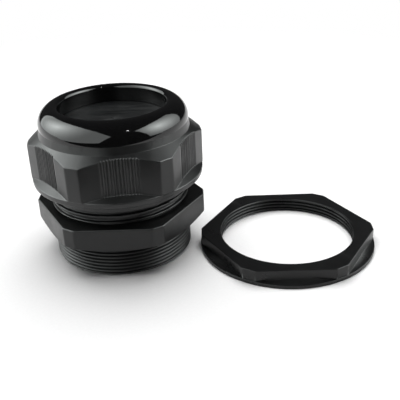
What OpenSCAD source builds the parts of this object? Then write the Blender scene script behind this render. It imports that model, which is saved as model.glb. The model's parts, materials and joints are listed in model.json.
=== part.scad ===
// Nylon cable gland with a 59.3 mm entry thread, standing on that thread, and its loose lock nut.
// Millimetres. The origin is the centre of the entry thread's free end, +Z runs up the gland's axis.

/* [Entry thread] */
// Outer diameter of the entry thread
entry_d = 59.3; // [59.2:0.05:59.4]
// Pitch of the entry thread
entry_pitch = 1.5875; // [1.5:0.0125:1.6]
// Depth of the entry thread
entry_depth = 0.97; // [0.9:0.01:1]
// Length from the free end to the flange
entry_length = 13.2; // [12:0.2:15]

/* [Flange] */
// Spanner size of the flange
flange_af = 65.3; // [64:0.1:66]
// Distance between opposite cut corners of the flange
flange_corners = 72.4; // [71:0.2:73]
// Thickness of the flange
flange_height = 10; // [9:0.2:11]

/* [Clamping thread] */
// Outer diameter of the thread that the cap screws on
clamp_d = 58.9; // [58.8:0.05:59]
// Pitch of that thread
clamp_pitch = 2.8; // [2.7:0.05:2.9]
// Depth of that thread
clamp_depth = 1.3; // [1.2:0.05:1.3]
// Height at which the body ends
body_top = 44; // [43.8:0.1:44]

/* [Cable passage] */
// Diameter of the bore through the body
bore_d = 46.4; // [45:0.2:47]
// Diameter of the seat for the claw ring and the seal
seat_d = 53.8; // [53.8:0.1:54]
// Height of the seat's floor
seat_floor = 38; // [37:0.5:39]

/* [Cap nut] */
// Spanner size of the cap
cap_af = 66; // [65.4:0.1:66.4]
// Distance between opposite cut corners of the cap
cap_corners = 72.8; // [72:0.1:73.4]
// Turn of the cap against the flange, in degrees
cap_clock = 9; // [0:1:30]
// Height of the skirt's lower edge, loosely screwed on
cap_bottom = 30; // [30:0.2:31]
// Diameter of the skirt
skirt_d = 62; // [61.6:0.1:62.4]
// Diameter of the band above the hexagon
band_d = 63; // [62.6:0.1:63.4]
// Diameter of the mouth
mouth_d = 44.4; // [44:0.1:44.6]
// Radius of the rounded lip's outer arc
lip_r = 7.3; // [7.2:0.05:7.4]
// Radius of the round collar under the hexagon
collar_r = 36.3; // [35.8:0.1:36.4]
// Number of grip ribs on each face
ribs = 12; // [8:1:14]
// Distance from rib to rib
rib_pitch = 1.18; // [1:0.02:1.3]
// Depth of the grooves between the ribs
rib_depth = 0.4; // [0.2:0.05:0.5]

/* [Claws and seal] */
// Number of clamping fingers
fingers = 18; // [18:1:18]
// Width of a finger
finger_width = 7.2; // [6:0.1:7.4]
// Thickness of a finger
finger_thick = 1.5; // [1.2:0.1:1.6]
// Bore of the rubber seal
seal_bore = 44.2; // [42:0.2:44.2]

/* [Lock nut] */
// Spanner size of the lock nut
nut_af = 68; // [66:0.5:69]
// Distance between opposite cut corners of the lock nut
nut_corners = 75.2; // [73:0.2:75.6]
// Diameter of the lock nut's flange
nut_flange_d = 75.9; // [75.8:0.1:77]
// Height of the lock nut
nut_height = 6.4; // [6:0.1:8]
// Place of the loose nut beside the gland, along X
nut_x = 72.3; // [72:0.1:120]
// Place of the loose nut beside the gland, along Y
nut_y = -5.8; // [-20:0.1:20]

/* [Hidden] */
$fn = 96;
eps = 0.01;

FINGER_NODES = [for (i = [1:fingers]) str("claw_finger_", i < 10 ? "0" : "", i)];

// Entry thread
entry_r = entry_d / 2;
entry_root = entry_r - entry_depth;
entry_lead_in = 0.8;
entry_thread_end = entry_length - 1.9;
shoulder_start = entry_length - 1.2;
root_clearance = 0.1;

// Flange
flange_bottom = entry_length;
flange_top = flange_bottom + flange_height;
flange_bevel = 1.4;

// Clamping thread
clamp_r = clamp_d / 2;
clamp_root = clamp_r - clamp_depth;
clamp_relief = 1;
clamp_chamfer = 1.3;
clamp_phase = 0.4;
clamp_gap = 0.4;

// Cap nut
skirt_r = skirt_d / 2;
band_r = band_d / 2;
mouth_r = mouth_d / 2;
rib_share = 0.34;
cap_minor = clamp_root + clamp_gap;
cap_major = clamp_r + clamp_gap;
collar_bottom = cap_bottom + 4;
collar_top = cap_bottom + 6.3;
collar_slope = 0.56;
face_arc_top = 53.3;
shoulder_slope = 0.74;
cone_top = face_arc_top + (cap_af / 2 - band_r) * shoulder_slope;
seam_z = 57.5;
lip_centre = [23.8, 58.5];
lip_top = lip_centre[1] + lip_r;
lip_inner_r = 1.6;
lip_floor = 58.3;
cone_start = 48;
cone_end = 57.2;
cone_end_r = 25.3;
cap_relief = 2.2;

// Claws, seal and disc
seat_r = seat_d / 2;
ring_gap = 0.05;
claw_outer = seat_r - ring_gap;
claw_inner = claw_outer - finger_thick;
claw_ring_top = 44;
pivot_z = 44.9;
knuckle_r = finger_thick / 2;
finger_top = 52.4;
finger_bevel = [0.3, 1.6];
seal_outer = 25.2;
seal_taper_start = 46;
seal_tip = [23.5, 56.9];
disc_r = 25;
disc_bottom = 57.15;
disc_top = 58.25;

// Lock nut
nut_minor = entry_root + 0.05;
nut_major = entry_r + 0.1;
nut_rim = 1.6;
nut_scoop_r = 8;
nut_scoop_centre = [38.2, 9.55];
nut_lead_in = 0.6;
nut_chamfer = 0.25;

// ---- Helpers ----

// Corners of a hexagon whose six corners are cut off square at half the distance "corners"
function cut_hexagon(af, corners) =
    let (side = tan(30) * af / 2, tip = af / 2 / cos(30), cut = (tip - corners / 2) / sin(30))
    [for (i = [0:5], s = [-1, 1]) rotate_2d([s * (side - cut), -af / 2], 60 * i)];

function rotate_2d(p, a) = [p[0] * cos(a) - p[1] * sin(a), p[0] * sin(a) + p[1] * cos(a)];

// A solid tool in the shape of one thread groove. It runs from z_from to z_to. At radius r_a the
// groove is w_a wide, and at radius r_b it is w_b wide. The steps are set off from the X axis, so
// that none of them falls on the seam of a cylinder.
module thread_groove(pitch, z_from, z_to, r_a, w_a, r_b, w_b, steps = 36) {
    set_off = 0.37;
    count = ceil((z_to - z_from) / pitch * steps);
    section = [[r_a, -w_a / 2], [r_a, w_a / 2], [r_b, w_b / 2], [r_b, -w_b / 2]];
    points = [for (k = [0:count], p = section)
        let (a = (k + set_off) * 360 / steps)
        [p[0] * cos(a), p[0] * sin(a), p[1] + z_from + pitch * a / 360]];
    sides = [for (k = [0:count - 1], j = [0:3], half = [0, 1])
        let (a = 4 * k + j, b = 4 * k + (j + 1) % 4, outside = r_b > r_a)
        outside
            ? (half == 0 ? [a, b + 4, b] : [a, a + 4, b + 4])
            : (half == 0 ? [a, b, b + 4] : [a, b + 4, a + 4])];
    last = 4 * count;
    ends = r_b > r_a
        ? [[0, 1, 2], [0, 2, 3], [last + 2, last + 1, last], [last + 3, last + 2, last]]
        : [[2, 1, 0], [3, 2, 0], [last, last + 1, last + 2], [last, last + 2, last + 3]];
    polyhedron(points, concat(sides, ends));
}

// ---- Gland body ----

module gland_body() {
    color([0.07, 0.07, 0.075]) difference() {
        union() {
            difference() {
                body_core();
                entry_groove();
                clamp_groove();
            }
            flange();
        }
        translate([0, 0, -1]) cylinder(r = bore_d / 2, h = body_top + 2);
        translate([0, 0, seat_floor]) cylinder(r = seat_r, h = body_top);
    }
}

// Core of the body: entry thread, its run-out groove, a plain shoulder and the clamping thread
module body_core() {
    core_r = 10;
    inside_flange = flange_bottom + 1;
    rotate_extrude() polygon([
        [core_r, 0],
        [entry_r - entry_lead_in, 0],
        [entry_r, entry_lead_in],
        [entry_r, entry_thread_end],
        [entry_root - root_clearance, entry_thread_end],
        [entry_root - root_clearance, shoulder_start],
        [entry_r, shoulder_start],
        [entry_r, inside_flange],
        [clamp_root - root_clearance, inside_flange],
        [clamp_root - root_clearance, flange_top + clamp_relief],
        [clamp_r, flange_top + clamp_relief],
        [clamp_r, body_top - clamp_chamfer],
        [clamp_r - clamp_chamfer, body_top],
        [core_r, body_top]
    ]);
}

// Hexagonal flange, bevelled from below so that its lower corners are rounded off
module flange() {
    outside = flange_corners / 2 + 3;
    intersection() {
        translate([0, 0, flange_bottom]) linear_extrude(flange_height) {
            polygon(cut_hexagon(flange_af, flange_corners));
        }
        rotate_extrude() polygon([
            [0, flange_bottom],
            [flange_af / 2, flange_bottom],
            [outside, flange_bottom + 2 * flange_bevel],
            [outside, flange_top],
            [0, flange_top]
        ]);
    }
}

module entry_groove() {
    over = 0.15;
    mouth_w = 1.36;
    root_w = 0.25;
    slope = (mouth_w - root_w) / entry_depth;
    thread_groove(entry_pitch, -2 * entry_pitch, entry_thread_end - 0.1, entry_r + over,
        mouth_w + slope * over, entry_root, root_w);
}

module clamp_groove() {
    over = 0.3;
    mouth_w = 1.9;
    root_w = 1.1;
    slope = (mouth_w - root_w) / clamp_depth;
    thread_groove(clamp_pitch, flange_top + clamp_phase, body_top + clamp_pitch, clamp_r + over,
        mouth_w + slope * over, clamp_root, root_w);
}

// ---- Claws and seal ----

module claw_ring() {
    color([0.10, 0.10, 0.105]) difference() {
        translate([0, 0, seat_floor + ring_gap]) {
            cylinder(r = claw_outer, h = claw_ring_top - seat_floor - ring_gap);
        }
        cylinder(r = claw_inner, h = body_top + 1);
    }
}

// One finger, in its place on the claw ring. It bends about the centre of its round root.
module claw_finger(index) {
    middle = (claw_outer + claw_inner) / 2;
    color([0.11, 0.11, 0.115]) rotate([0, 0, index * 360 / fingers]) {
        translate([0, finger_width / 2, 0]) rotate([90, 0, 0]) linear_extrude(finger_width) union() {
            translate([middle, pivot_z]) circle(r = knuckle_r, $fn = 32);
            polygon([
                [claw_inner, pivot_z],
                [claw_outer, pivot_z],
                [claw_outer, finger_top - finger_bevel[1]],
                [claw_outer - finger_bevel[0], finger_top],
                [claw_inner, finger_top]
            ]);
        }
    }
}

// Straight in its seat, then tapered so that the fingers can bend in towards it
module seal_insert() {
    color([0.13, 0.13, 0.13]) rotate_extrude() polygon([
        [seal_bore / 2, seat_floor + ring_gap],
        [seal_outer, seat_floor + ring_gap],
        [seal_outer, seal_taper_start],
        seal_tip,
        [seal_bore / 2, seal_tip[1]]
    ]);
}

module dust_disc() {
    color([0.16, 0.16, 0.165]) translate([0, 0, disc_bottom]) {
        cylinder(r = disc_r, h = disc_top - disc_bottom);
    }
}

// ---- Cap nut ----

module cap_nut() {
    color([0.05, 0.05, 0.055]) rotate([0, 0, cap_clock]) difference() {
        union() {
            cap_hexagon();
            rotate_extrude() cap_outline();
        }
        rotate_extrude() cap_hollow();
        rotate([0, 0, -cap_clock]) cap_groove();
    }
}

// Outer outline of the skirt, the collar, the band and the rounded lip
module cap_outline() {
    core_r = 20;
    collar_chamfer = 0.35;
    collar_taper = 0.25;
    slope_top = collar_top + (collar_r - skirt_r) * collar_slope;
    lip_edge_r = lip_centre[0] + sqrt(pow(lip_r, 2) - pow(lip_centre[1] - seam_z, 2));
    polygon([
        [core_r, cap_bottom],
        [skirt_r, cap_bottom],
        [skirt_r, collar_bottom],
        [collar_r - collar_taper - collar_chamfer, collar_bottom],
        [collar_r - collar_taper, collar_bottom + collar_chamfer],
        [collar_r, collar_top],
        [skirt_r, slope_top],
        [core_r, slope_top]
    ]);
    polygon([
        [core_r, collar_top],
        [band_r, collar_top],
        [band_r, cone_top],
        [lip_edge_r, seam_z],
        [core_r, seam_z]
    ]);
    intersection() {
        translate(lip_centre) circle(r = lip_r);
        translate([lip_centre[0], seam_z - eps]) square(2 * lip_r);
    }
    translate([mouth_r, seam_z - eps]) {
        square([lip_centre[0] - mouth_r + eps, lip_top - lip_inner_r - seam_z + eps]);
    }
    translate([mouth_r + lip_inner_r, lip_top - lip_inner_r]) circle(r = lip_inner_r, $fn = 48);
}

// Inside of the cap, from the skirt up: thread core, relief, clamping cone, disc seat and mouth
module cap_hollow() {
    lead_in = 0.4;
    polygon([
        [0, cap_bottom - 1],
        [cap_major, cap_bottom - 1],
        [cap_major, cap_bottom + lead_in],
        [cap_minor, cap_bottom + lead_in + cap_major - cap_minor],
        [cap_minor, cone_start - cap_relief],
        [cap_major + root_clearance, cone_start - cap_relief],
        [cap_major + root_clearance, cone_start],
        [cap_minor, cone_start],
        [cone_end_r, cone_end],
        [cone_end_r, lip_floor],
        [mouth_r, lip_floor],
        [mouth_r, lip_top + 1],
        [0, lip_top + 1]
    ]);
}

// The ribbed hexagon, between the collar's slope and the cone that its faces run out into
module cap_hexagon() {
    core_r = 25;
    outside = cap_corners / 2 + 2;
    intersection() {
        translate([0, 0, collar_top - 1]) linear_extrude(cone_top - collar_top + 1) {
            polygon(ribbed_hexagon());
        }
        rotate_extrude() polygon([
            [core_r, collar_top - 1],
            [collar_r - 1, collar_top - 1],
            [outside, collar_top + outside - collar_r],
            [outside, face_arc_top - (outside - cap_af / 2) * shoulder_slope],
            [band_r, cone_top],
            [core_r, cone_top]
        ]);
    }
}

// The cut hexagon with a row of V-shaped grooves on the middle of each face
function ribbed_hexagon() =
    let (side = tan(30) * cap_af / 2, tip = cap_af / 2 / cos(30), cut = (tip - cap_corners / 2) / sin(30))
    [for (i = [0:5]) each concat(
        [rotate_2d([-(side - cut), -cap_af / 2], 60 * i)],
        [for (k = [0:ribs], p = [[-rib_share, 0], [0, rib_depth], [rib_share, 0]])
            rotate_2d([(k - ribs / 2 + p[0]) * rib_pitch, -cap_af / 2 + p[1]], 60 * i)],
        [rotate_2d([side - cut, -cap_af / 2], 60 * i)])];

// The inner thread. Its grooves lie round the crests of the clamping thread, half a pitch off its grooves.
module cap_groove() {
    over = 0.3;
    root_w = 1.35;
    mouth_w = 2;
    slope = (mouth_w - root_w) / (cap_major - cap_minor);
    start = flange_top + clamp_phase - clamp_pitch / 2;
    turns_below = 2;
    thread_groove(clamp_pitch, start + turns_below * clamp_pitch, cone_start - cap_relief + mouth_w / 2,
        cap_minor - over, mouth_w + slope * over, cap_major, root_w);
}

// ---- Lock nut ----

module lock_nut() {
    color([0.06, 0.06, 0.065]) translate([nut_x, nut_y, 0]) difference() {
        union() {
            nut_flange();
            intersection() {
                cylinder(r = nut_flange_d / 2, h = nut_height);
                linear_extrude(nut_height) polygon(cut_hexagon(nut_af, nut_corners));
            }
        }
        rotate_extrude() polygon([
            [0, -1],
            [nut_major, -1],
            [nut_major, 0],
            [nut_minor, nut_lead_in],
            [nut_minor, nut_height - nut_chamfer],
            [nut_minor + nut_chamfer, nut_height],
            [nut_minor + nut_chamfer, nut_height + 1],
            [0, nut_height + 1]
        ]);
        nut_groove();
    }
}

// Round flange with a hollow slope that runs up into the flats
module nut_flange() {
    core_r = 20;
    slope_r = nut_af / 2 - 1;
    slope_z = 4;
    rotate_extrude() difference() {
        polygon([
            [core_r, 0],
            [nut_flange_d / 2, 0],
            [nut_flange_d / 2, nut_rim],
            [slope_r, slope_z],
            [core_r, slope_z]
        ]);
        translate(nut_scoop_centre) circle(r = nut_scoop_r);
    }
}

module nut_groove() {
    over = 0.25;
    mouth_w = 1.4;
    root_w = 0.35;
    thread_groove(entry_pitch, -2 * entry_pitch, nut_height + entry_pitch, nut_minor - over,
        mouth_w, nut_major, root_w);
}

// ---- Assembly ----

gland_body();
claw_ring();
seal_insert();
dust_disc();
cap_nut();
lock_nut();
for (i = [0:fingers - 1]) claw_finger(i);
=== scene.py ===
"""Looks for the black nylon cable gland and its loose lock nut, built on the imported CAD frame."""

import json
import math

import bpy
import numpy as np
from mathutils import Matrix, Vector


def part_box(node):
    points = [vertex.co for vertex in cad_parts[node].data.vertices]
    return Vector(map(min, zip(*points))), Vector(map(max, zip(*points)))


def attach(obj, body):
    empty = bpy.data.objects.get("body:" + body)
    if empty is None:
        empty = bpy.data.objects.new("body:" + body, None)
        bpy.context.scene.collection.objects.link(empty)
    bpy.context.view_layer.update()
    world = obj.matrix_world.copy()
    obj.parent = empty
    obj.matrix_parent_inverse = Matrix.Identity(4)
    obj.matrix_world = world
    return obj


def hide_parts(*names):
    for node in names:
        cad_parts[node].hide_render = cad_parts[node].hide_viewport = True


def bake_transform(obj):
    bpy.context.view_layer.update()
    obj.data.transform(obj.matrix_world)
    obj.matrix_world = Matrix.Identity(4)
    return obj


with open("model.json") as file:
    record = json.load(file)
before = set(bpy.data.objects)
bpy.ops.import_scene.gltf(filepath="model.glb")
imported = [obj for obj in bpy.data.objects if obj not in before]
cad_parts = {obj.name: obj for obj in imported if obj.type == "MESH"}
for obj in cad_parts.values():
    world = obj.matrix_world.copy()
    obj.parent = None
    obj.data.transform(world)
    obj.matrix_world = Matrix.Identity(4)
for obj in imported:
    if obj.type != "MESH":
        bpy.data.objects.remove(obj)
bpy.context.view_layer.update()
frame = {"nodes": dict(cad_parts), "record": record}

MM = 0.001
TURN = 2 * math.pi

# Sizes are in millimetres, as in the CAD model. Its mounts and node boxes give the main ones.
mounts = {m["name"]: m for m in frame["record"]["mounts"]}


def node_span(node, axis):
    """Lowest and highest coordinate of a CAD node along an axis, in millimetres."""
    low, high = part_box(node)
    return low[axis] / MM, high[axis] / MM


BORE_R = mounts["cable_bore"]["dims"]["r_mm"]
SEAT_FLOOR = mounts["cable_bore"]["dims"]["length_mm"]
ENTRY_R = mounts["entry_thread"]["dims"]["r_mm"]
FLANGE_BOTTOM = mounts["panel_face"]["pos_m"][2] / MM
NUT_MINOR = mounts["nut_thread"]["dims"]["r_mm"]
NUT_PLACE = Vector((*mounts["nut_thread"]["pos_m"][:2], 0))
BODY_TOP = node_span("gland_body", 2)[1]
CAP_BOTTOM, CAP_TOP = node_span("cap_nut", 2)
NUT_TOP = node_span("lock_nut", 2)[1]
NUT_RIM_R = (node_span("lock_nut", 1)[1] - node_span("lock_nut", 1)[0]) / 2
DISC_BOTTOM, DISC_TOP = node_span("dust_disc", 2)
DISC_R = node_span("dust_disc", 0)[1]
SEAL_BOTTOM, SEAL_TOP = node_span("seal_insert", 2)

# Body. A thread's groove is MOUTH wide at the crest and ROOT wide at its floor.
ENTRY_PITCH, ENTRY_DEPTH, ENTRY_MOUTH, ENTRY_ROOT = 1.5875, 0.97, 1.3, 0.2
ENTRY_LEAD_IN, ENTRY_FACE_INSET, ENTRY_FIRST_ROW = 0.8, 0.5, 0.05
THREAD_END, SHOULDER_START = FLANGE_BOTTOM - 1.9, FLANGE_BOTTOM - 1.2
FLANGE_AF, FLANGE_CORNERS, FLANGE_HEIGHT = 65.3, 72.4, 10.0
FLANGE_BEVEL, FLANGE_BEVEL_REACH, FLANGE_FACE_INSET = 1.4, 3.0, 0.15
CLAMP_R, CLAMP_PITCH, CLAMP_DEPTH, CLAMP_MOUTH, CLAMP_ROOT = 29.45, 2.8, 1.3, 1.9, 1.1
CLAMP_GROOVE_START, CLAMP_CHAMFER, CLAMP_RELIEF = 23.6, 1.3, 1.0
CLAMP_STEP_OUT, CLAMP_END_DROP = 1.2, 1.4
RELIEF_DEPTH, RELIEF_EDGE = 0.1, 0.05
SEAT_R = 26.9

# Cap nut
CAP_AF, CAP_CORNERS, CAP_CLOCK = 66.0, 72.8, 9.0
SKIRT_R, BAND_R, MOUTH_R = 31.0, 31.5, 22.2
LIP_CENTRE_R, LIP_R, LIP_INNER_R = 23.8, 7.3, 1.6
LIP_CENTRE_Z = CAP_TOP - LIP_R
LIP_TOP_GAP, LIP_ROWS, LIP_INNER_ROWS = 2, 40, 14
LIP_FLOOR, SEAM_Z, SEAM_STEP = 58.3, 57.5, 0.15
COLLAR_R, COLLAR_BOTTOM, COLLAR_TOP = 36.3, CAP_BOTTOM + 4, CAP_BOTTOM + 6.3
COLLAR_SLOPE, COLLAR_TAPER, FACE_FOOT_RISE = 0.56, 0.25, 0.05
FACE_ARC_TOP, SHOULDER_SLOPE = 53.3, 0.74
RIBS, RIB_PITCH, RIB_DEPTH = 12, 1.18, 0.4
RIB_MOUTH, RIB_FLOOR = 0.34, 0.2
CONE_START, CONE_END, CONE_END_R = 48.0, 57.2, 25.3
CAP_MOUTH, CAP_ROOT, CAP_GAP, CAP_RELIEF = 2.1, 1.2, 0.4, 2.2
CAP_THREAD_END, CAP_LEAD_IN, CAP_LEAD_IN_HEIGHT = CAP_BOTTOM + 1.3, 0.3, 1
PAINT_MARGIN = 0.1

# Blanking disc and seal
DISC_RING, DISC_RING_SLOPE, DISC_DISH = 3.6, 0.3, 0.12
NEAR_AXIS = 0.01
SEAL_BORE_R, SEAL_R, SEAL_TIP_R, SEAL_TAPER_START = 22.1, 25.2, 23.5, 46.0
SEAL_ROW_MARGIN, SEAL_WALL_ROWS, SEAL_TAPER_ROWS, SEAL_BORE_ROWS = 1, 6, 8, 16

# Lock nut
NUT_AF, NUT_CORNERS = 68.0, 75.2
NUT_MAJOR, NUT_MOUTH, NUT_ROOT, NUT_LEAD_IN = ENTRY_R + 0.1, 1.4, 0.35, 0.6
NUT_RIM, NUT_HOLLOW_R, NUT_HOLLOW_CENTRE_R, NUT_HOLLOW_INSET = 1.55, 8.0, 38.2, 0.2
NUT_HOLLOW_START, NUT_HOLLOW_ROWS = 0.12, 9
NUT_TOP_RING, NUT_THREAD_CHAMFER, NUT_FACE_MARGIN = 2, 0.35, 1.2
NUT_THREAD_TOP, NUT_THREAD_FOOT = NUT_TOP - 0.3, 0.1

# Claw ring and fingers
CLAW_BEVEL, CLAW_SHARPEST = 0.12, 35

# Fineness of the meshes: rows to one thread pitch, and points round a plain round piece
FINE_ROWS, CLAMP_ROWS, CAP_ROWS = 14, 18, 10
ROUND_POINTS = 144


# ---- Mesh helpers ----

def wrap_mesh(name, radii, heights, angles, close=True):
    """A body of quads from rows of points: row k lies at radii[k], heights[k] over all the angles.
    The rows go round the cross-section once, and where close is true the last meets the first."""
    radii, heights = np.array(radii), np.array(heights)
    rows, columns = radii.shape
    x = radii * np.cos(angles) * MM
    y = radii * np.sin(angles) * MM
    points = np.stack([x, y, heights * MM], -1).reshape(-1, 3)
    last_row = rows if close else rows - 1
    k = np.arange(last_row)[:, None]
    c = np.arange(columns)[None, :]
    ahead = (c + 1) % columns
    above = (k + 1) % rows
    corners = [k * columns + c, k * columns + ahead, above * columns + ahead, above * columns + c]
    quads = np.stack([np.broadcast_to(q, (last_row, columns)) for q in corners], -1).reshape(-1, 4)
    mesh = bpy.data.meshes.new(name)
    mesh.from_pydata(points.tolist(), [], quads.tolist())
    mesh.update()
    obj = bpy.data.objects.new(name, mesh)
    bpy.context.scene.collection.objects.link(obj)
    return obj


def even_angles(count):
    return np.arange(count) * TURN / count


class Section:
    """The cross-section of a round body, as rows of (radius, height) over all the angles."""

    def __init__(self, angles):
        self.angles = angles
        self.corners = []

    def add(self, r, z, blend=0.0):
        """A corner. Radius and height are numbers or one value per angle; blend rounds it."""
        full = np.ones(len(self.angles))
        self.corners.append((np.array([full * r, full * z]), blend))

    def rows(self, steps=5):
        """The corners as rows, with each rounded corner turned into a short curve. A curve takes
        up no more than 0.45 of the way to the next corner."""
        found = []
        count = len(self.corners)
        for i, (here, blend) in enumerate(self.corners):
            if not blend:
                found.append(here)
                continue
            before = self.corners[i - 1][0] - here
            after = self.corners[(i + 1) % count][0] - here
            room_before = np.maximum(np.hypot(*before), 1e-9)
            room_after = np.maximum(np.hypot(*after), 1e-9)
            start = here + before / room_before * np.minimum(blend, room_before * 0.45)
            end = here + after / room_after * np.minimum(blend, room_after * 0.45)
            for t in np.linspace(0, 1, steps):
                found.append((1 - t) ** 2 * start + 2 * t * (1 - t) * here + t ** 2 * end)
        stack = np.array(found)
        return stack[:, 0, :], stack[:, 1, :]

    def mesh(self, name):
        return wrap_mesh(name, *self.rows(), self.angles)


def cut_hexagon_radius(angles, af, corners, clock=0.0):
    """Distance from the axis to a hexagon with cut corners, at each angle, with soft edges. The
    twelve sides are joined by a soft minimum of their distances."""
    softness, typical, steepest = 9.0, 30, 0.3
    total = np.zeros(len(angles))
    for i in range(12):
        normal = math.radians(clock - 90 + 30 * i)
        distance = (af if i % 2 == 0 else corners) / 2
        facing = np.cos(angles - normal)
        ahead = facing > steepest
        total[ahead] += np.exp(-softness * (distance / facing[ahead] - typical))
    return typical - np.log(total) / softness


def thread_radius(angles, z, groove_z, pitch, land_r, groove_r, mouth_w, root_w):
    """Radius of a helical groove's section at height z, over all the angles. The groove's centre
    passes height groove_z at angle 0."""
    turns = (z - groove_z) / pitch - angles / TURN
    away = np.abs((turns + 0.5) % 1 - 0.5) * pitch
    share = np.clip((away - root_w / 2) / ((mouth_w - root_w) / 2), 0, 1)
    return groove_r + (land_r - groove_r) * share


def hexagon_angles(af, corners, clock=0.0, marks_mm=(), spread=9):
    """Angles that crowd at the edges of a cut hexagon. marks_mm are places along each face, in
    millimetres from its middle, and spread is the number of even steps over half a face."""
    half_turn = math.radians(30)
    cut = (af / 2 / math.cos(half_turn) - corners / 2) / math.sin(half_turn)
    edge = math.degrees(math.atan((math.tan(half_turn) * af / 2 - cut) / (af / 2)))
    marks = set(round(math.degrees(math.atan(m / (af / 2))), 5) for m in marks_mm)
    near = [0, 0.15, 0.3, 0.5, 0.8, 1.2]
    for s in (-1, 1):
        marks.update(round(s * edge + t * n, 5) for n in near for t in (-1, 1))
        marks.update((round(s * 30, 5), round(s * 28.5, 5)))
    marks.update(np.round(np.linspace(-edge, edge, spread * 2 + 1), 5).tolist())
    sector = sorted(m for m in marks if -30 <= m < 30)
    closest = 0.06
    kept = [sector[0]]
    for m in sector[1:]:
        if m - kept[-1] > closest:
            kept.append(m)
    degrees = [clock - 90 + 60 * i + m for i in range(6) for m in kept]
    return np.radians(np.array(degrees))


# ---- Materials ----

def node_material(name):
    material = bpy.data.materials.new(name)
    material.use_nodes = True
    nodes = material.node_tree.nodes
    return material, nodes, material.node_tree.links, nodes["Principled BSDF"]


def noise(nodes, links, place, scale, detail=4.0, roughness=0.55, stretch=(1, 1, 1)):
    """A noise texture in the object's own coordinates. Scale is in features per metre."""
    mapping = nodes.new("ShaderNodeMapping")
    mapping.inputs["Scale"].default_value = stretch
    links.new(place.outputs["Object"], mapping.inputs["Vector"])
    texture = nodes.new("ShaderNodeTexNoise")
    texture.inputs["Scale"].default_value = scale
    texture.inputs["Detail"].default_value = detail
    texture.inputs["Roughness"].default_value = roughness
    links.new(mapping.outputs["Vector"], texture.inputs["Vector"])
    return texture


def ramp(nodes, links, source, stops):
    """A colour ramp over source. Each stop is (position, grey or colour)."""
    node = nodes.new("ShaderNodeValToRGB")
    elements = node.color_ramp.elements
    for element, (position, value) in zip(elements, stops):
        colour = (value,) * 3 if isinstance(value, (int, float)) else value
        element.position = position
        element.color = (*colour, 1)
    links.new(source, node.inputs["Fac"])
    return node


def add_colour(nodes, links, base, extra, share):
    """The base colour plus extra, a socket or a colour, times share, a socket or a number."""
    add = nodes.new("ShaderNodeMixRGB")
    add.blend_type = "ADD"
    for name, value in (("Fac", share), ("Color2", extra)):
        if isinstance(value, bpy.types.NodeSocket):
            links.new(value, add.inputs[name])
        else:
            add.inputs[name].default_value = value
    links.new(base, add.inputs["Color1"])
    return add.outputs["Color"]


# Noises of the plastics: features per metre, detail and roughness
MOTTLE, STREAK = (90.0, 5.0, 0.6), (60.0, 6.0, 0.7)
WEAR_PATCH, SMUDGE = (260.0, 3.0), (140.0, 4.0)
GRAIN_DETAIL, GRAIN_STRENGTH = 2.0, 0.35
VEIL, WORN_FROM, WORN_FULL = 0.015, 0.52, 0.62


def plastic(name, dark, light, rough, grain=2600.0, grain_depth=0.00002, wear=0.02,
            specular=0.5, streaks=None):
    """Moulded plastic or rubber: mottled colour, uneven roughness, fine grain and paler worn edges.
    streaks stretches a faint pale veil along an axis."""
    material, nodes, links, shader = node_material(name)
    place = nodes.new("ShaderNodeTexCoord")
    cloud = noise(nodes, links, place, *MOTTLE)
    colour = ramp(nodes, links, cloud.outputs["Fac"], [(0.3, dark), (0.7, light)]).outputs["Color"]
    if streaks:
        lines = noise(nodes, links, place, *STREAK, streaks)
        veil = ramp(nodes, links, lines.outputs["Fac"], [(0.42, 0.0), (0.75, VEIL)])
        colour = add_colour(nodes, links, colour, veil.outputs["Color"], 1)
    geometry = nodes.new("ShaderNodeNewGeometry")
    edge = ramp(nodes, links, geometry.outputs["Pointiness"],
                [(WORN_FROM, 0.0), (WORN_FULL, 1.0)])
    patches = noise(nodes, links, place, *WEAR_PATCH)
    worn = nodes.new("ShaderNodeMath")
    worn.operation = "MULTIPLY"
    links.new(edge.outputs["Color"], worn.inputs[0])
    links.new(patches.outputs["Fac"], worn.inputs[1])
    colour = add_colour(nodes, links, colour, (wear, wear, wear * 1.02, 1), worn.outputs["Value"])
    links.new(colour, shader.inputs["Base Color"])
    smudge = noise(nodes, links, place, *SMUDGE)
    finish = ramp(nodes, links, smudge.outputs["Fac"], [(0.3, rough[0]), (0.75, rough[1])])
    links.new(finish.outputs["Color"], shader.inputs["Roughness"])
    shader.inputs["Specular IOR Level"].default_value = specular
    fine = noise(nodes, links, place, grain, GRAIN_DETAIL)
    bump = nodes.new("ShaderNodeBump")
    bump.inputs["Strength"].default_value = GRAIN_STRENGTH
    bump.inputs["Distance"].default_value = grain_depth
    links.new(fine.outputs["Fac"], bump.inputs["Height"])
    links.new(bump.outputs["Normal"], shader.inputs["Normal"])
    return material


SATIN = plastic("satin_nylon", (0.0030, 0.0031, 0.0033), (0.0060, 0.0061, 0.0063), (0.30, 0.42))
BODY = plastic("body_nylon", (0.0035, 0.0036, 0.0038), (0.0065, 0.0066, 0.0068), (0.30, 0.42),
               specular=0.37)
GLOSS = plastic("polished_nylon", (0.0026, 0.0026, 0.0028), (0.0038, 0.0038, 0.0041), (0.045, 0.09),
                grain=900.0, grain_depth=0.000003, wear=0.002)
NUT = plastic("nut_nylon", (0.0052, 0.0053, 0.0055), (0.0078, 0.0079, 0.0082), (0.26, 0.38),
              specular=0.32)
CLAW = plastic("claw_nylon", (0.010, 0.010, 0.0105), (0.018, 0.018, 0.0185), (0.35, 0.5))
RUBBER = plastic("seal_rubber", (0.006, 0.006, 0.006), (0.011, 0.011, 0.011), (0.6, 0.8),
                 grain=1800.0, grain_depth=0.00004)
DISC = plastic("disc_plastic", (0.0022, 0.0025, 0.0027), (0.0048, 0.0053, 0.0056), (0.40, 0.60),
               specular=0.2, streaks=(1.0, 7.0, 1.0))


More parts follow.
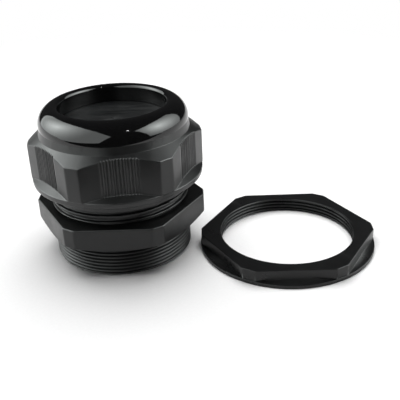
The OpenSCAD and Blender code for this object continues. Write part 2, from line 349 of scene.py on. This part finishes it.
def finish_piece(obj, body, materials, node):
    """Smooth shading, materials and the piece's body; its CAD node is hidden. A piece with no body
    is left unattached."""
    for material in materials:
        obj.data.materials.append(material)
    for face in obj.data.polygons:
        face.use_smooth = True
    weighted = obj.modifiers.new("weighted_normals", "WEIGHTED_NORMAL")
    weighted.mode = "FACE_AREA"
    weighted.weight = 60
    if body:
        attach(obj, body)
    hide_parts(node)


# ---- Gland body ----

def make_body():
    """Entry thread, hexagonal flange and clamping thread in one moulding."""
    angles = hexagon_angles(FLANGE_AF, FLANGE_CORNERS, spread=16)
    section = Section(angles)
    entry_floor = ENTRY_R - ENTRY_DEPTH
    clamp_floor = CLAMP_R - CLAMP_DEPTH
    flange_top = FLANGE_BOTTOM + FLANGE_HEIGHT
    # Entry thread, its relief and the plain shoulder
    section.add(BORE_R, 0, blend=0.3)
    section.add(ENTRY_R - ENTRY_LEAD_IN - ENTRY_FACE_INSET, 0, blend=0.2)
    for z in np.arange(ENTRY_FIRST_ROW, THREAD_END, ENTRY_PITCH / FINE_ROWS):
        groove = thread_radius(angles, z, 0, ENTRY_PITCH, ENTRY_R, entry_floor,
                               ENTRY_MOUTH, ENTRY_ROOT)
        section.add(np.minimum(groove, ENTRY_R - ENTRY_LEAD_IN + z), z)
    section.add(entry_floor - RELIEF_DEPTH, THREAD_END + RELIEF_DEPTH)
    section.add(entry_floor - RELIEF_DEPTH, SHOULDER_START, blend=0.15)
    section.add(ENTRY_R, SHOULDER_START, blend=0.15)
    section.add(ENTRY_R, FLANGE_BOTTOM, blend=0.1)
    # Flange, bevelled at its corners from below
    hexagon = cut_hexagon_radius(angles, FLANGE_AF, FLANGE_CORNERS)
    rise = 2 * FLANGE_BEVEL / (FLANGE_CORNERS / 2 + FLANGE_BEVEL_REACH - FLANGE_AF / 2)
    lower = FLANGE_BOTTOM + np.maximum(hexagon - FLANGE_AF / 2, 0) * rise
    section.add(FLANGE_AF / 2 - FLANGE_FACE_INSET, FLANGE_BOTTOM, blend=0.1)
    section.add(hexagon, lower, blend=0.35)
    section.add(hexagon, (lower + flange_top) / 2)
    section.add(hexagon, flange_top, blend=0.8)
    # Relief and clamping thread
    section.add(CLAMP_R + CLAMP_STEP_OUT, flange_top)
    section.add(clamp_floor - RELIEF_DEPTH, flange_top, blend=0.3)
    section.add(clamp_floor - RELIEF_DEPTH, flange_top + 0.8 * CLAMP_RELIEF)
    clamp_start, clamp_end = flange_top + CLAMP_RELIEF, BODY_TOP - CLAMP_CHAMFER
    for z in np.arange(clamp_start, clamp_end, CLAMP_PITCH / CLAMP_ROWS):
        section.add(thread_radius(angles, z, CLAMP_GROOVE_START, CLAMP_PITCH, CLAMP_R, clamp_floor,
                                  CLAMP_MOUTH, CLAMP_ROOT), z)
    section.add(CLAMP_R - CLAMP_END_DROP, BODY_TOP, blend=0.2)
    # Seat and bore, from the top down
    section.add(SEAT_R, BODY_TOP, blend=0.15)
    section.add(SEAT_R, SEAT_FLOOR, blend=0.2)
    section.add(BORE_R, SEAT_FLOOR, blend=0.3)
    section.add(BORE_R, SEAT_FLOOR / 2)
    return section.mesh("body_moulding")


finish_piece(make_body(), "base", [BODY], "gland_body")


# ---- Cap nut ----

def rib_cut(angles):
    """Depth of the grip grooves on the cap's faces, at each angle."""
    across = ((np.degrees(angles) + 90 - CAP_CLOCK + 30) % 60) - 30
    along = np.tan(np.radians(across)) * CAP_AF / 2
    nearest = np.clip(np.round(along / RIB_PITCH + RIBS / 2), 0, RIBS)
    away = np.abs(along - (nearest - RIBS / 2) * RIB_PITCH) / RIB_PITCH
    return RIB_DEPTH * np.clip((RIB_MOUTH - away) / (RIB_MOUTH - RIB_FLOOR), 0, 1)


def make_cap():
    """Skirt, collar, ribbed hexagon, matte band and polished rounded lip, hollow inside."""
    marks = [(k - RIBS / 2 + side * share) * RIB_PITCH for k in range(RIBS + 1)
             for side in (-1, 1) for share in (RIB_FLOOR, RIB_MOUTH)]
    angles = hexagon_angles(CAP_AF, CAP_CORNERS, CAP_CLOCK, marks)
    hexagon = cut_hexagon_radius(angles, CAP_AF, CAP_CORNERS, CAP_CLOCK) - rib_cut(angles)
    section = Section(angles)
    minor = CLAMP_R - CLAMP_DEPTH + CAP_GAP
    major = CLAMP_R + CAP_GAP
    thread_top = CONE_START - CAP_RELIEF
    # Skirt and collar, which slopes up or down to the faces
    section.add(major, CAP_BOTTOM, blend=0.15)
    section.add(SKIRT_R, CAP_BOTTOM, blend=0.35)
    section.add(SKIRT_R, COLLAR_BOTTOM, blend=0.3)
    section.add(COLLAR_R - COLLAR_TAPER, COLLAR_BOTTOM, blend=0.6)
    section.add(COLLAR_R, COLLAR_TOP, blend=0.35)
    inward = COLLAR_R - hexagon
    foot = COLLAR_TOP + np.where(inward > 0, inward * COLLAR_SLOPE, -inward) + FACE_FOOT_RISE
    section.add(hexagon, foot, blend=0.3)
    # Faces, which end in arcs where the cone meets them, and the band
    arc = FACE_ARC_TOP + (CAP_AF / 2 - hexagon) * SHOULDER_SLOPE
    for share in (0.25, 0.5, 0.75):
        section.add(hexagon, foot + (arc - foot) * share)
    section.add(hexagon, arc, blend=0.35)
    section.add(BAND_R, FACE_ARC_TOP + (CAP_AF / 2 - BAND_R) * SHOULDER_SLOPE, blend=0.08)
    # Lip, from the seam over its outer and inner arcs, which stop just short of the top
    section.add(LIP_CENTRE_R + math.sqrt(LIP_R ** 2 - (LIP_CENTRE_Z - SEAM_Z) ** 2), SEAM_Z)
    start = math.degrees(math.asin((SEAM_Z + SEAM_STEP - LIP_CENTRE_Z) / LIP_R))
    for a in np.radians(np.linspace(start, 90 - LIP_TOP_GAP, LIP_ROWS)):
        section.add(LIP_CENTRE_R + LIP_R * math.cos(a), LIP_CENTRE_Z + LIP_R * math.sin(a))
    inner_z = CAP_TOP - LIP_INNER_R
    for a in np.radians(np.linspace(90 + LIP_TOP_GAP, 180, LIP_INNER_ROWS)):
        section.add(MOUTH_R + LIP_INNER_R * (1 + math.cos(a)), inner_z + LIP_INNER_R * math.sin(a))
    # Mouth, cone, relief and thread, from the top down
    section.add(MOUTH_R, (inner_z + LIP_FLOOR) / 2)
    section.add(MOUTH_R, LIP_FLOOR, blend=0.2)
    section.add(CONE_END_R, LIP_FLOOR, blend=0.1)
    section.add(CONE_END_R, CONE_END)
    section.add(minor, CONE_START)
    section.add(major + RELIEF_DEPTH, CONE_START - RELIEF_EDGE)
    section.add(major + RELIEF_DEPTH, thread_top)
    for z in np.arange(thread_top, CAP_THREAD_END, -CLAMP_PITCH / CAP_ROWS):
        section.add(thread_radius(angles, z, CLAMP_GROOVE_START + CLAMP_PITCH / 2, CLAMP_PITCH,
                                  minor, major, CAP_MOUTH, CAP_ROOT), z)
    # Known fault: this ring doesn't follow the groove, so it cuts into the body's thread
    section.add(minor + CAP_LEAD_IN, CAP_BOTTOM + CAP_LEAD_IN_HEIGHT)
    return section.mesh("cap_moulding")


def paint_cap(cap):
    """The lip above the seam is polished; the band, hexagon and skirt have a satin finish."""
    for face in cap.data.polygons:
        r = math.hypot(face.center.x, face.center.y) / MM
        z = face.center.z / MM
        outside = r > CONE_END_R + PAINT_MARGIN or z > LIP_FLOOR + PAINT_MARGIN
        on_lip = z > SEAM_Z + PAINT_MARGIN and outside
        face.material_index = 1 if on_lip else 0


cap_piece = make_cap()
finish_piece(cap_piece, "cap", [SATIN, GLOSS], "cap_nut")
paint_cap(cap_piece)


# ---- Blanking disc ----

def make_disc():
    """Disc with a rounded edge and a slightly lower middle inside a plain ring."""
    section = Section(even_angles(ROUND_POINTS))
    dished = DISC_TOP - (DISC_TOP - DISC_BOTTOM) * DISC_DISH
    section.add(NEAR_AXIS, DISC_BOTTOM)
    section.add(DISC_R, DISC_BOTTOM, blend=0.2)
    section.add(DISC_R, DISC_TOP, blend=0.25)
    section.add(DISC_R - DISC_RING, DISC_TOP, blend=0.15)
    section.add(DISC_R - DISC_RING - DISC_RING_SLOPE, dished, blend=0.15)
    for r in (16, 10, 5, 2, NEAR_AXIS):
        section.add(r, dished)
    return section.mesh("blanking_disc")


finish_piece(make_disc(), "disc_carrier", [DISC], "dust_disc")


# ---- Seal ----

def make_seal():
    """Rubber sleeve, straight in its seat and tapered inside the fingers, in rows close enough to
    be squeezed smoothly."""
    section = Section(even_angles(ROUND_POINTS))
    section.add(SEAL_BORE_R, SEAL_BOTTOM, blend=0.3)
    section.add(SEAL_R, SEAL_BOTTOM, blend=0.4)
    for z in np.linspace(SEAL_BOTTOM + SEAL_ROW_MARGIN, SEAL_TAPER_START - SEAL_ROW_MARGIN,
                         SEAL_WALL_ROWS):
        section.add(SEAL_R, z)
    section.add(SEAL_R, SEAL_TAPER_START, blend=1.0)
    for share in np.linspace(0.15, 0.9, SEAL_TAPER_ROWS):
        section.add(SEAL_R + (SEAL_TIP_R - SEAL_R) * share,
                    SEAL_TAPER_START + (SEAL_TOP - SEAL_TAPER_START) * share)
    section.add(SEAL_TIP_R, SEAL_TOP, blend=0.4)
    section.add(SEAL_BORE_R, SEAL_TOP, blend=0.4)
    for z in np.linspace(SEAL_TOP - SEAL_ROW_MARGIN, SEAL_BOTTOM + SEAL_ROW_MARGIN,
                         SEAL_BORE_ROWS):
        section.add(SEAL_BORE_R, z)
    return section.mesh("seal_sleeve")


seal_piece = make_seal()
finish_piece(seal_piece, None, [RUBBER], "seal_insert")
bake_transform(seal_piece)


# ---- Lock nut ----

def make_nut():
    """Flanged hexagon nut: each flat runs into the round flange through a hollowed slope."""
    angles = hexagon_angles(NUT_AF, NUT_CORNERS, spread=16)
    hexagon = cut_hexagon_radius(angles, NUT_AF, NUT_CORNERS)
    section = Section(angles)
    section.add(NUT_MAJOR, 0, blend=0.1)
    section.add(NUT_RIM_R, 0, blend=0.3)
    section.add(NUT_RIM_R, NUT_RIM, blend=0.3)
    for share in np.linspace(NUT_HOLLOW_START, 1, NUT_HOLLOW_ROWS):
        r = NUT_RIM_R - NUT_HOLLOW_INSET + (hexagon - NUT_RIM_R + NUT_HOLLOW_INSET) * share
        drop = np.sqrt(NUT_HOLLOW_R ** 2 - (NUT_HOLLOW_CENTRE_R - r) ** 2)
        section.add(r, NUT_RIM + NUT_HOLLOW_R - drop)
    section.add(hexagon, NUT_TOP - NUT_FACE_MARGIN)
    section.add(hexagon, NUT_TOP, blend=0.35)
    section.add(NUT_MINOR + NUT_TOP_RING, NUT_TOP)
    section.add(NUT_MINOR + NUT_THREAD_CHAMFER, NUT_TOP, blend=0.2)
    for z in np.arange(NUT_THREAD_TOP, NUT_THREAD_FOOT, -ENTRY_PITCH / FINE_ROWS):
        groove = thread_radius(angles, z, 0, ENTRY_PITCH, NUT_MINOR, NUT_MAJOR,
                               NUT_MOUTH, NUT_ROOT)
        lead_in = NUT_MAJOR - (NUT_MAJOR - NUT_MINOR) * min(z / NUT_LEAD_IN, 1)
        section.add(np.maximum(groove, lead_in), z)
    nut = section.mesh("nut_moulding")
    nut.location = NUT_PLACE
    return nut


finish_piece(make_nut(), "loose_nut", [NUT], "lock_nut")


# ---- CAD nodes that stay ----

def dress_node(node, material, bevel):
    """A CAD node keeps its shape and gets a material and softened edges."""
    obj = frame["nodes"][node]
    obj.data.materials.clear()
    obj.data.materials.append(material)
    soft = obj.modifiers.new("soft_edges", "BEVEL")
    soft.width = bevel * MM
    soft.segments = 2
    soft.limit_method = "ANGLE"
    soft.angle_limit = math.radians(CLAW_SHARPEST)


for node in frame["nodes"]:
    if node.startswith("claw_"):
        dress_node(node, CLAW, CLAW_BEVEL)


# ---- Studio ----

FLOOR_TONE, FLOOR_HALF = 0.88, 4.0
FLOOR_FIBRE, FLOOR_VARIATION, FLOOR_ROUGHNESS, FLOOR_SPECULAR = (900.0, 3.0), 1.03, 0.8, 0.1
PAPER_EDGE = -0.112
AIM = Vector((0, 0, 0.06))
BACKDROP_LIFT, BACKDROP_BEND, DOME_POINTS = 0.0004, 0.3, 96
BOX_COLOUR, BOX_SPREAD = (0.955, 1.0, 0.985, 1), 0.75
WORLD_STRENGTH = 0.04
SENSOR_WIDTH, LENS = 36, 60.9


def floor_part(name, y_near, y_far, mirrored):
    """A strip of the white floor, from y_near to y_far metres. The part that lies in front of the
    picture isn't mirrored in the gland, as though the white paper ended there."""
    material, nodes, links, shader = node_material(name)
    place = nodes.new("ShaderNodeTexCoord")
    fibre = noise(nodes, links, place, *FLOOR_FIBRE)
    tone = ramp(nodes, links, fibre.outputs["Fac"],
                [(0.3, FLOOR_TONE), (0.7, FLOOR_TONE * FLOOR_VARIATION)])
    links.new(tone.outputs["Color"], shader.inputs["Base Color"])
    shader.inputs["Roughness"].default_value = FLOOR_ROUGHNESS
    shader.inputs["Specular IOR Level"].default_value = FLOOR_SPECULAR
    mesh = bpy.data.meshes.new(name)
    corners = [(-FLOOR_HALF, y_near, 0), (FLOOR_HALF, y_near, 0), (FLOOR_HALF, y_far, 0),
               (-FLOOR_HALF, y_far, 0)]
    mesh.from_pydata(corners, [], [(0, 1, 2, 3)])
    mesh.materials.append(material)
    floor = bpy.data.objects.new(name, mesh)
    floor.visible_glossy = mirrored
    bpy.context.scene.collection.objects.link(floor)


def backdrop(name, inner, clear, radius):
    """A seamless pale backdrop that only the camera sees. It fades in over the floor from inner to
    clear metres, runs level to 0.7 of radius and then bends up into a dome."""
    material, nodes, links, shader = node_material(name)
    nodes.remove(shader)
    glow = nodes.new("ShaderNodeEmission")
    glow.inputs["Color"].default_value = (1, 1, 1, 1)
    glow.inputs["Strength"].default_value = 1.0
    place = nodes.new("ShaderNodeTexCoord")
    flat = nodes.new("ShaderNodeVectorMath")
    flat.operation = "MULTIPLY"
    flat.inputs[1].default_value = (1, 1, 0)
    distance = nodes.new("ShaderNodeVectorMath")
    distance.operation = "LENGTH"
    fade = nodes.new("ShaderNodeMapRange")
    fade.interpolation_type = "SMOOTHSTEP"
    fade.inputs["From Min"].default_value = inner
    fade.inputs["From Max"].default_value = clear
    see_through = nodes.new("ShaderNodeBsdfTransparent")
    mix = nodes.new("ShaderNodeMixShader")
    links.new(place.outputs["Object"], flat.inputs[0])
    links.new(flat.outputs["Vector"], distance.inputs[0])
    links.new(distance.outputs["Value"], fade.inputs["Value"])
    links.new(fade.outputs["Result"], mix.inputs["Fac"])
    links.new(see_through.outputs["BSDF"], mix.inputs[1])
    links.new(glow.outputs["Emission"], mix.inputs[2])
    links.new(mix.outputs["Shader"], nodes["Material Output"].inputs["Surface"])
    lift, bend = BACKDROP_LIFT, radius * BACKDROP_BEND
    profile = [(inner, lift), (clear, lift), (radius - bend, lift)]
    profile += [(radius - bend + bend * math.sin(a), lift + bend * (1 - math.cos(a)))
                for a in np.linspace(0.1, math.pi / 2, 12)]
    top = lift + bend
    profile += [(radius * math.cos(a), top + radius * math.sin(a))
                for a in np.linspace(0.1, 1.5, 14)]
    profile.append((0.001, top + radius))
    angles = even_angles(DOME_POINTS)
    radii, heights = (np.outer([point[i] / MM for point in profile], np.ones(DOME_POINTS))
                      for i in (0, 1))
    dome = wrap_mesh(name, radii, heights, angles, close=False)
    dome.data.materials.append(material)
    for ray in ("diffuse", "glossy", "transmission", "volume_scatter", "shadow"):
        setattr(dome, "visible_" + ray, False)


def direction(azimuth, elevation):
    """Unit vector towards an azimuth and an elevation in degrees."""
    a, e = math.radians(azimuth), math.radians(elevation)
    return Vector((math.cos(a) * math.cos(e), math.sin(a) * math.cos(e), math.sin(e)))


def area_light(name, shape, size, radiance):
    """An area light of that radiance, not yet placed. size is its width and height in metres."""
    light = bpy.data.lights.new(name, "AREA")
    light.shape = shape
    light.size, light.size_y = size
    fill = math.pi / 4 if shape == "DISK" else 1
    light.energy = radiance * math.pi * size[0] * size[1] * fill
    obj = bpy.data.objects.new(name, light)
    bpy.context.scene.collection.objects.link(obj)
    return obj


def soft_box(name, azimuth, elevation, distance, size, hot, edge, peak):
    """A soft box that is brightest around one point and is only mirrored. azimuth and elevation,
    in degrees, are its direction, and hot is the bright point, as shares of the width and the
    height. edge and peak are the radiance there and at the point."""
    away = direction(azimuth, elevation)
    side = direction(azimuth + 90, 0)
    rise = away.cross(side)
    obj = area_light(name, "RECTANGLE", size, 1.0)
    obj.data.use_nodes = True
    nodes, links = obj.data.node_tree.nodes, obj.data.node_tree.links
    geometry = nodes.new("ShaderNodeNewGeometry")
    mapping = nodes.new("ShaderNodeMapping")
    mapping.vector_type = "POINT"
    scale = (size[0] / BOX_SPREAD, size[1] / BOX_SPREAD, 0)
    mapping.inputs["Scale"].default_value = scale
    mapping.inputs["Location"].default_value = (-hot[0] * scale[0], -hot[1] * scale[1], 0)
    glow = nodes.new("ShaderNodeTexGradient")
    glow.gradient_type = "QUADRATIC_SPHERE"
    level = nodes.new("ShaderNodeMath")
    level.operation = "MULTIPLY_ADD"
    level.inputs[1].default_value = peak - edge
    level.inputs[2].default_value = edge
    links.new(geometry.outputs["Parametric"], mapping.inputs["Vector"])
    links.new(mapping.outputs["Vector"], glow.inputs["Vector"])
    links.new(glow.outputs["Fac"], level.inputs[0])
    links.new(level.outputs["Value"], nodes["Emission"].inputs["Strength"])
    nodes["Emission"].inputs["Color"].default_value = BOX_COLOUR
    turn = Matrix((side, rise, away)).transposed().to_4x4()
    obj.matrix_world = Matrix.Translation(AIM + away * distance) @ turn
    obj.visible_diffuse = False


def overhead_light(name, place, size, radiance):
    """A large soft light above the gland. It lights the paper and isn't mirrored in the plastic."""
    obj = area_light(name, "RECTANGLE", size, radiance)
    obj.location = place
    obj.rotation_euler = Vector(place).to_track_quat("Z", "Y").to_euler()
    obj.visible_glossy = False


def small_lamp(name, azimuth, elevation, distance, radius, radiance):
    """A small round lamp that leaves a bright point on the lip."""
    obj = area_light(name, "DISK", (2 * radius, 2 * radius), radiance)
    away = direction(azimuth, elevation)
    obj.location = AIM + away * distance
    obj.rotation_euler = away.to_track_quat("Z", "Y").to_euler()


def make_world():
    world = bpy.data.worlds.new("studio")
    world.use_nodes = True
    world.node_tree.nodes["Background"].inputs["Color"].default_value = (1, 1, 1, 1)
    world.node_tree.nodes["Background"].inputs["Strength"].default_value = WORLD_STRENGTH
    bpy.context.scene.world = world


def make_camera():
    """A close camera that looks down on the gland, turned and rolled slightly."""
    place = Vector((40.14, -266.48, 152.96)) * MM
    heading, down, roll = math.radians(1.21), math.radians(26.71), math.radians(-2.37)
    forward = Vector((-math.sin(heading) * math.cos(down), math.cos(heading) * math.cos(down),
                      -math.sin(down)))
    level = Vector((math.cos(heading), math.sin(heading), 0))
    rise = level.cross(forward)
    right = level * math.cos(roll) + rise * math.sin(roll)
    up = rise * math.cos(roll) - level * math.sin(roll)
    camera = bpy.data.cameras.new("camera")
    camera.sensor_width = SENSOR_WIDTH
    camera.lens = LENS
    obj = bpy.data.objects.new("camera", camera)
    turn = Matrix((right, up, -forward)).transposed().to_4x4()
    obj.matrix_world = Matrix.Translation(place) @ turn
    bpy.context.scene.collection.objects.link(obj)
    bpy.context.scene.camera = obj


floor_part("studio_floor", PAPER_EDGE, FLOOR_HALF, True)
floor_part("studio_floor_front", -FLOOR_HALF, PAPER_EDGE, False)
backdrop("studio_backdrop", inner=0.22, clear=0.42, radius=1.4)
soft_box("left_box", azimuth=198, elevation=27, distance=0.7, size=(2.64, 1.04),
         hot=(0.39, 0.6), edge=2.0, peak=10.0)
soft_box("right_box", azimuth=0, elevation=24, distance=0.8, size=(1.12, 0.9),
         hot=(0.42, 0.6), edge=1.8, peak=11.5)
overhead_light("overhead", place=(-0.04, 0.20, 0.75), size=(1.1, 1.0), radiance=3.6)
small_lamp("front_lamp", azimuth=-56, elevation=53, distance=0.9, radius=0.018, radiance=60.0)
make_world()
make_camera()
bpy.context.scene.view_settings.view_transform = "Standard"
